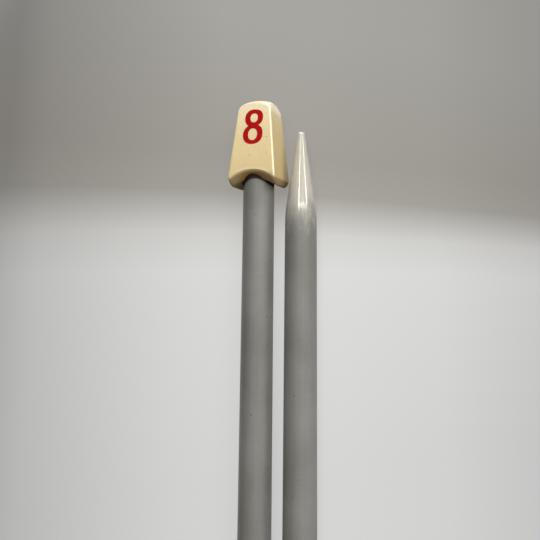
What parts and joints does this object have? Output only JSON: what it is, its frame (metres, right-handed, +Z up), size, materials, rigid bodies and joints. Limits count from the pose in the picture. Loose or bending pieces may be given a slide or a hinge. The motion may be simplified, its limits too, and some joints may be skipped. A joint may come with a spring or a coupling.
{
  "type": "knitting needle",
  "caption": "Pair of single-pointed knitting needles lying head to point: coated aluminium tubes with swaged points and drafted ivory plastic heads marked with the size 8.",
  "frame": {"origin": "on the surface that the needles lie on, under the middle of the pair's bounding box", "axes": "+X along the needles, towards the head of needle A; +Y from needle B to needle A; +Z up, out of the printed faces of the heads"},
  "size_m": [0.3584, 0.0238, 0.0109],
  "materials": {
    "shaft_coating": "satin grey coating, worn glossier on the points",
    "head_plastic": "moulded ivory plastic with a printed red number"
  },
  "bodies": {
    "needle_a": {"needle_a_shaft": "shaft_coating", "needle_a_head": "head_plastic"},
    "needle_b": {"needle_b_shaft": "shaft_coating", "needle_b_head": "head_plastic"}
  },
  "joints": [
    {"name": "needle_b_aside", "type": "slide", "parent": "needle_a", "child": "needle_b", "axis": [0, -1, 0], "range_m": [0, 0.04]}
  ]
}
